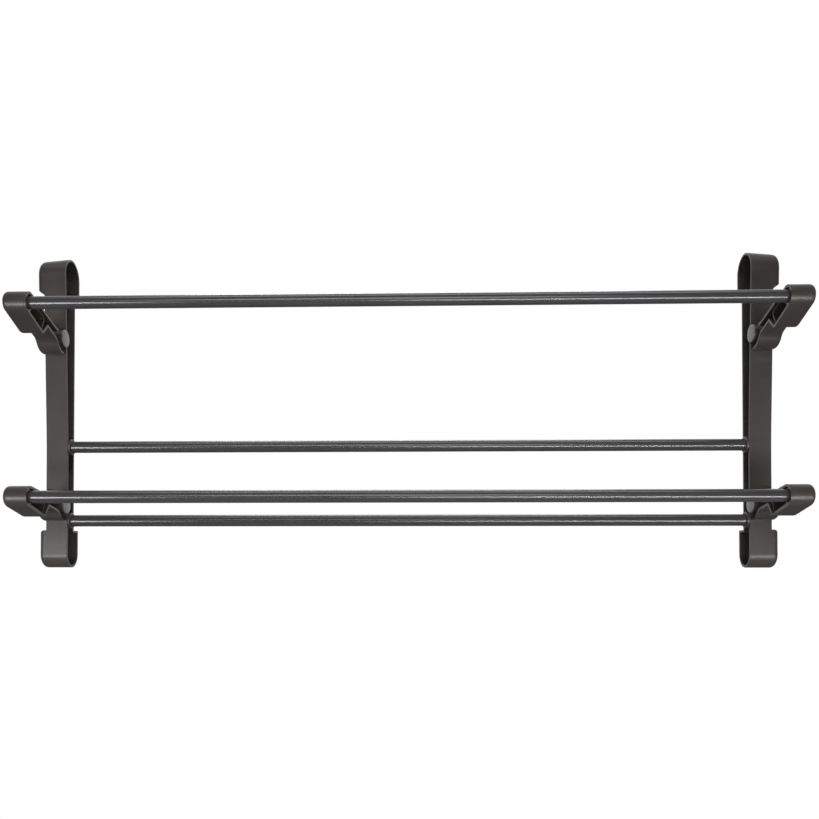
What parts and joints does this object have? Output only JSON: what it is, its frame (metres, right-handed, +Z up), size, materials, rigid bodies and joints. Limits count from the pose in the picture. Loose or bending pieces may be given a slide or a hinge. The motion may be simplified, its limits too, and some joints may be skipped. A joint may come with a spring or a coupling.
{
  "type": "folding luggage rack",
  "caption": "Wall rack for bags: hollow moulded uprights on feet, fixed rear tubes, and front tubes on hinged arms that fold up flat.",
  "frame": {"origin": "middle of the four wall screw holes, in the plane of the wall", "axes": "+X to the right along the rails, +Y into the wall, +Z up"},
  "size_m": [0.802, 0.1297, 0.342],
  "materials": {
    "moulded_plastic": "fine satin moulded, near-black and slightly warm",
    "rail_paint": "semi-gloss dark grey coating",
    "steel": "plain zinc-plated",
    "nylon": "natural off-white"
  },
  "bodies": {
    "frame": {"left_upright": "moulded_plastic", "right_upright": "moulded_plastic", "upper_rear_rail": "rail_paint", "lower_rear_rail": "rail_paint", "left_upper_pin": "steel", "right_upper_pin": "steel", "left_lower_pin": "steel", "right_lower_pin": "steel", "left_upper_washer": "steel", "right_upper_washer": "steel", "left_lower_washer": "steel", "right_lower_washer": "steel", "left_upper_push_nut": "steel", "right_upper_push_nut": "steel", "left_lower_push_nut": "steel", "right_lower_push_nut": "steel", "left_upper_cap": "moulded_plastic", "right_upper_cap": "moulded_plastic", "left_lower_cap": "moulded_plastic", "right_lower_cap": "moulded_plastic", "upper_rear_plugs": "nylon", "lower_rear_plugs": "nylon", "upper_rear_screws": "steel", "lower_rear_screws": "steel"},
    "upper_rack": {"left_upper_arm": "moulded_plastic", "right_upper_arm": "moulded_plastic", "upper_front_rail": "rail_paint", "upper_front_plugs": "nylon", "upper_front_screws": "steel"},
    "lower_rack": {"left_lower_arm": "moulded_plastic", "right_lower_arm": "moulded_plastic", "lower_front_rail": "rail_paint", "lower_front_plugs": "nylon", "lower_front_screws": "steel"}
  },
  "joints": [
    {"name": "upper_fold", "type": "hinge", "parent": "frame", "child": "upper_rack", "pos_m": [0, -0.03911, 0.0786], "axis": [-1, 0, 0], "range_deg": [-11, 69.5]},
    {"name": "lower_fold", "type": "hinge", "parent": "frame", "child": "lower_rack", "pos_m": [0, -0.0333, -0.1029], "axis": [-1, 0, 0], "range_deg": [0, 80.5]}
  ]
}
